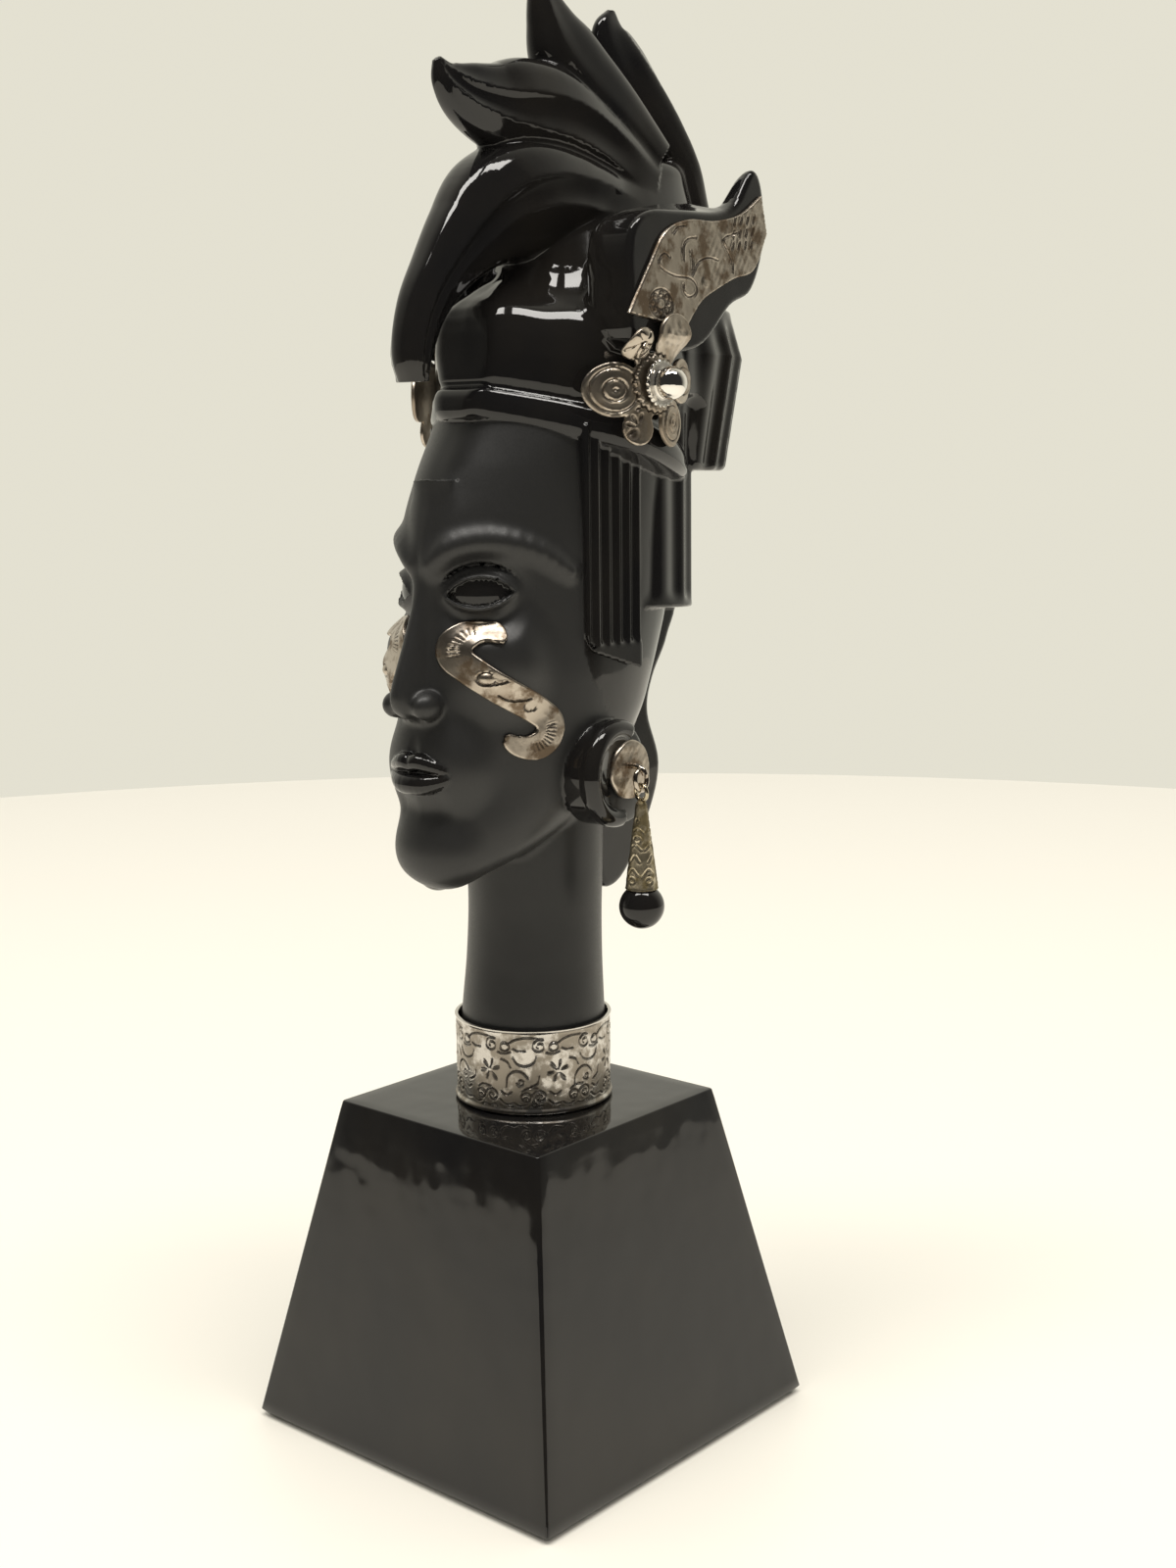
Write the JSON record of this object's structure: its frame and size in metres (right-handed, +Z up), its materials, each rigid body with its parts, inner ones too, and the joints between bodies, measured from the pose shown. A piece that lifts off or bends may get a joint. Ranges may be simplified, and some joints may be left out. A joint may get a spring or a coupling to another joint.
{
  "type": "carved obsidian head figurine on a plinth",
  "caption": "Carved black obsidian head with a plumed headdress, silver cheek scrolls, rosettes, ear drops and neck band, standing on a cut-pyramid plinth.",
  "frame": {"origin": "middle of the plinth's flat underside", "axes": "+Z up through the head, -Y the way the face looks, +X the head's own left side"},
  "size_m": [0.0794, 0.0951, 0.2872],
  "materials": {
    "obsidian_plinth": "polished",
    "obsidian_carved": "polished",
    "obsidian_bead": "polished",
    "silver_stamped": "satin",
    "silver_tarnished": "satin",
    "silver_rosette": "satin",
    "silver_drop": "satin",
    "silver_bright": "polished"
  },
  "bodies": {
    "root": {"plinth": "obsidian_plinth", "head": "obsidian_carved", "neck_band": "silver_stamped", "cheek_scroll_left": "silver_tarnished", "cheek_scroll_right": "silver_tarnished", "wing_plate_left": "silver_tarnished", "wing_plate_right": "silver_tarnished", "rosette_left": "silver_rosette", "rosette_right": "silver_rosette", "rosette_stud_left": "silver_bright", "rosette_stud_right": "silver_bright", "ear_disc_left": "silver_tarnished", "ear_disc_right": "silver_tarnished", "drop_cone_left": "silver_drop", "drop_cone_right": "silver_drop", "drop_bead_left": "obsidian_bead", "drop_bead_right": "obsidian_bead"}
  },
  "joints": []
}
